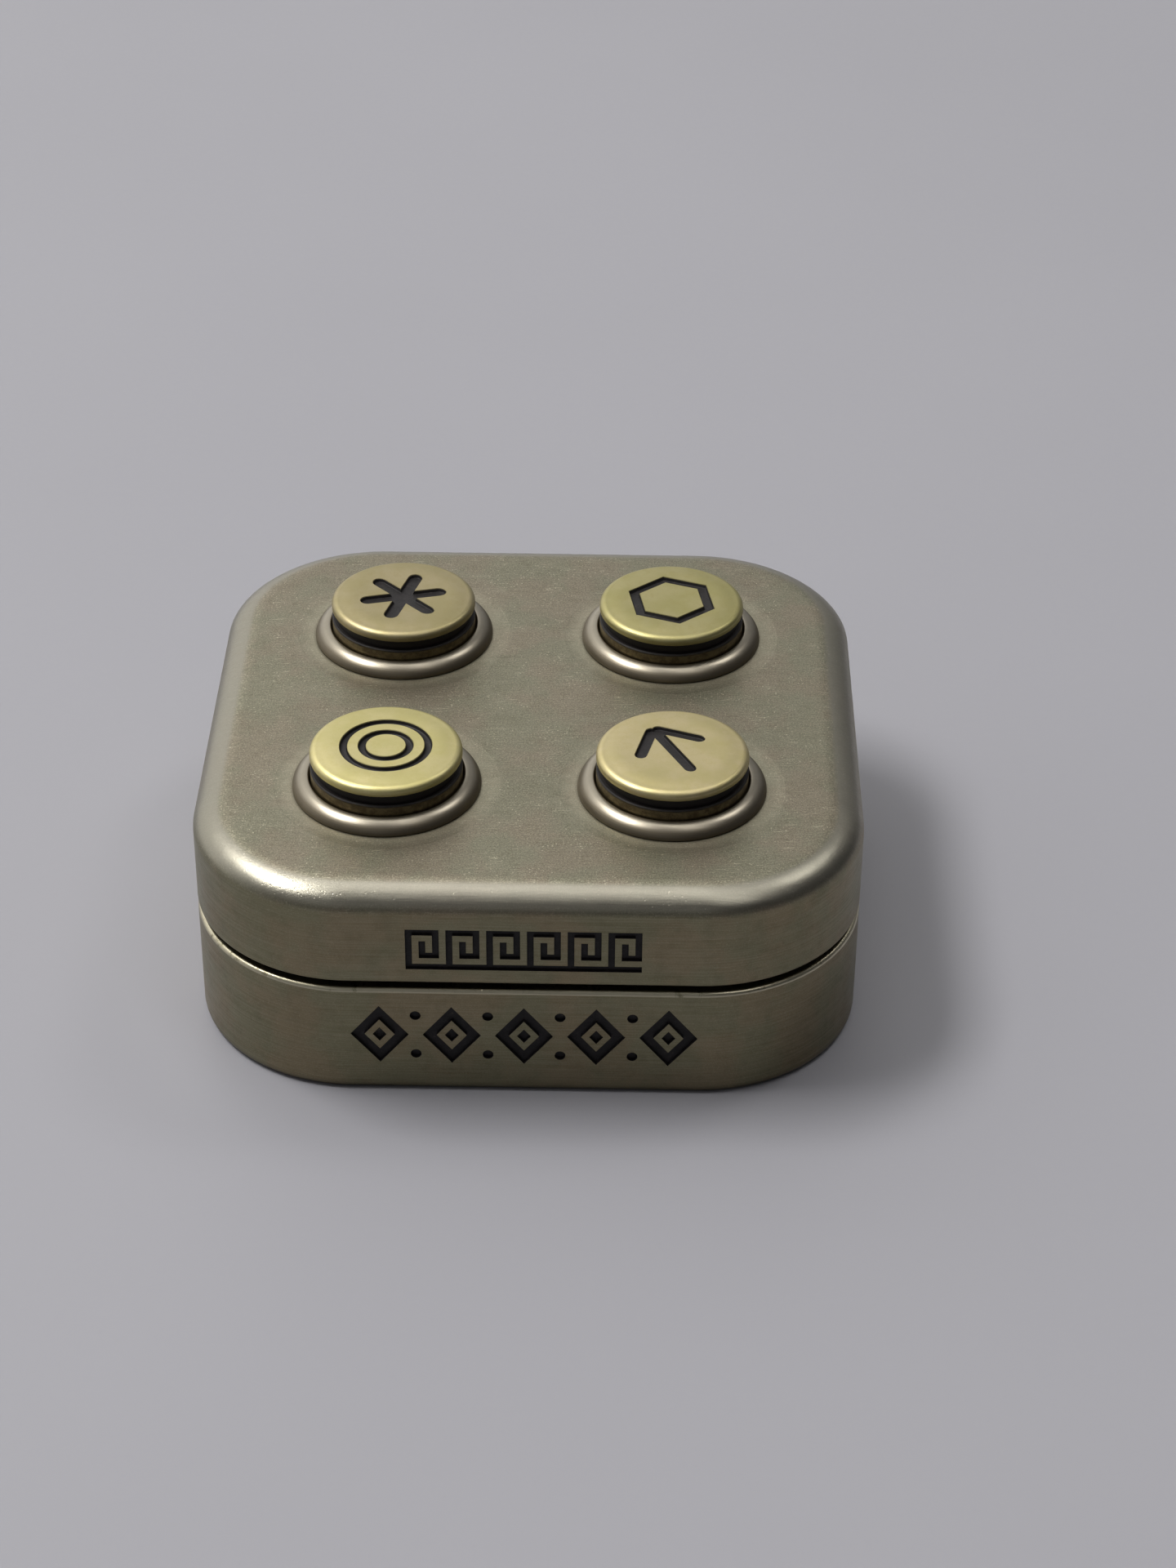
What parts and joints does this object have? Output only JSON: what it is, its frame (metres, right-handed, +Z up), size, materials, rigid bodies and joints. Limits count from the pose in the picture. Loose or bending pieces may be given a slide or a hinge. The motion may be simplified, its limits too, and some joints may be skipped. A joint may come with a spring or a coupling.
{
  "type": "magnetic push slider",
  "caption": "Square pocket slider: two metal halves slide over each other on magnets, with sprung brass buttons that press and spin.",
  "frame": {"origin": "centre of the flat underside", "axes": "+Z up through the buttons, +X to the right and +Y away from the viewer, each parallel to a side of the square body"},
  "size_m": [0.045, 0.045, 0.0191],
  "materials": {
    "lower_shell": "aged nickel, finely brushed",
    "upper_shell": "aged nickel, finely brushed",
    "bezel": "polished and slightly aged nickel",
    "button": "satin aged brass with dark engraving",
    "magnet": "nickel plating",
    "screw": "black oxide",
    "spring_wire": "bright spring steel wire",
    "spring_plate": "zinc plated sheet",
    "magnet_tray": "black moulded plastic",
    "lower_track_plate": "black slippery plastic",
    "upper_track_plate": "black slippery plastic",
    "cross_guide": "white slippery plastic",
    "thrust_washer": "white slippery plastic"
  },
  "bodies": {
    "lower_half": {"lower_shell": "lower_shell", "lower_magnet_tray": "magnet_tray", "lower_track_plate": "lower_track_plate", "lower_magnet_1": "magnet", "lower_magnet_2": "magnet", "lower_magnet_3": "magnet", "lower_magnet_4": "magnet", "lower_magnet_5": "magnet", "lower_magnet_6": "magnet", "lower_magnet_7": "magnet", "lower_magnet_8": "magnet", "lower_magnet_9": "magnet", "lower_screw_1": "screw", "lower_screw_2": "screw", "lower_screw_3": "screw", "lower_screw_4": "screw"},
    "cross_guide": {"cross_guide": "cross_guide"},
    "upper_half": {"upper_shell": "upper_shell", "upper_track_plate": "upper_track_plate", "spring_plate": "spring_plate", "upper_magnet_1": "magnet", "upper_magnet_2": "magnet", "upper_magnet_3": "magnet", "upper_magnet_4": "magnet", "upper_magnet_5": "magnet", "upper_magnet_6": "magnet", "upper_magnet_7": "magnet", "upper_magnet_8": "magnet", "upper_magnet_9": "magnet", "upper_screw_1": "screw", "upper_screw_2": "screw", "upper_screw_3": "screw", "upper_screw_4": "screw", "bezel_front_left": "bezel", "bezel_front_right": "bezel", "bezel_back_left": "bezel", "bezel_back_right": "bezel", "button_spring_front_left": "spring_wire", "button_spring_front_right": "spring_wire", "button_spring_back_left": "spring_wire", "button_spring_back_right": "spring_wire"},
    "thrust_washer_front_left": {"thrust_washer_front_left": "thrust_washer"},
    "button_front_left": {"button_front_left": "button"},
    "thrust_washer_front_right": {"thrust_washer_front_right": "thrust_washer"},
    "button_front_right": {"button_front_right": "button"},
    "thrust_washer_back_left": {"thrust_washer_back_left": "thrust_washer"},
    "button_back_left": {"button_back_left": "button"},
    "thrust_washer_back_right": {"thrust_washer_back_right": "thrust_washer"},
    "button_back_right": {"button_back_right": "button"}
  },
  "joints": [
    {"name": "slide_x", "type": "slide", "parent": "lower_half", "child": "cross_guide", "axis": [1, 0, 0], "range_m": [-0.006, 0.006]},
    {"name": "slide_y", "type": "slide", "parent": "cross_guide", "child": "upper_half", "axis": [0, 1, 0], "range_m": [-0.006, 0.006]},
    {"name": "press_front_left", "type": "slide", "parent": "upper_half", "child": "thrust_washer_front_left", "axis": [0, 0, -1], "range_m": [0, 0.0012], "stiffness_N_per_m": 600, "springref_m": -0.0008, "deforming": ["button_spring_front_left"]},
    {"name": "spin_front_left", "type": "hinge", "parent": "thrust_washer_front_left", "child": "button_front_left", "pos_m": [-0.0096, -0.0096, 0.01905], "axis": [0, 0, 1], "continuous": true},
    {"name": "press_front_right", "type": "slide", "parent": "upper_half", "child": "thrust_washer_front_right", "axis": [0, 0, -1], "range_m": [0, 0.0012], "stiffness_N_per_m": 600, "springref_m": -0.0008, "deforming": ["button_spring_front_right"]},
    {"name": "spin_front_right", "type": "hinge", "parent": "thrust_washer_front_right", "child": "button_front_right", "pos_m": [0.0096, -0.0096, 0.01905], "axis": [0, 0, 1], "continuous": true},
    {"name": "press_back_left", "type": "slide", "parent": "upper_half", "child": "thrust_washer_back_left", "axis": [0, 0, -1], "range_m": [0, 0.0012], "stiffness_N_per_m": 600, "springref_m": -0.0008, "deforming": ["button_spring_back_left"]},
    {"name": "spin_back_left", "type": "hinge", "parent": "thrust_washer_back_left", "child": "button_back_left", "pos_m": [-0.0096, 0.0096, 0.01905], "axis": [0, 0, 1], "continuous": true},
    {"name": "press_back_right", "type": "slide", "parent": "upper_half", "child": "thrust_washer_back_right", "axis": [0, 0, -1], "range_m": [0, 0.0012], "stiffness_N_per_m": 600, "springref_m": -0.0008, "deforming": ["button_spring_back_right"]},
    {"name": "spin_back_right", "type": "hinge", "parent": "thrust_washer_back_right", "child": "button_back_right", "pos_m": [0.0096, 0.0096, 0.01905], "axis": [0, 0, 1], "continuous": true}
  ]
}
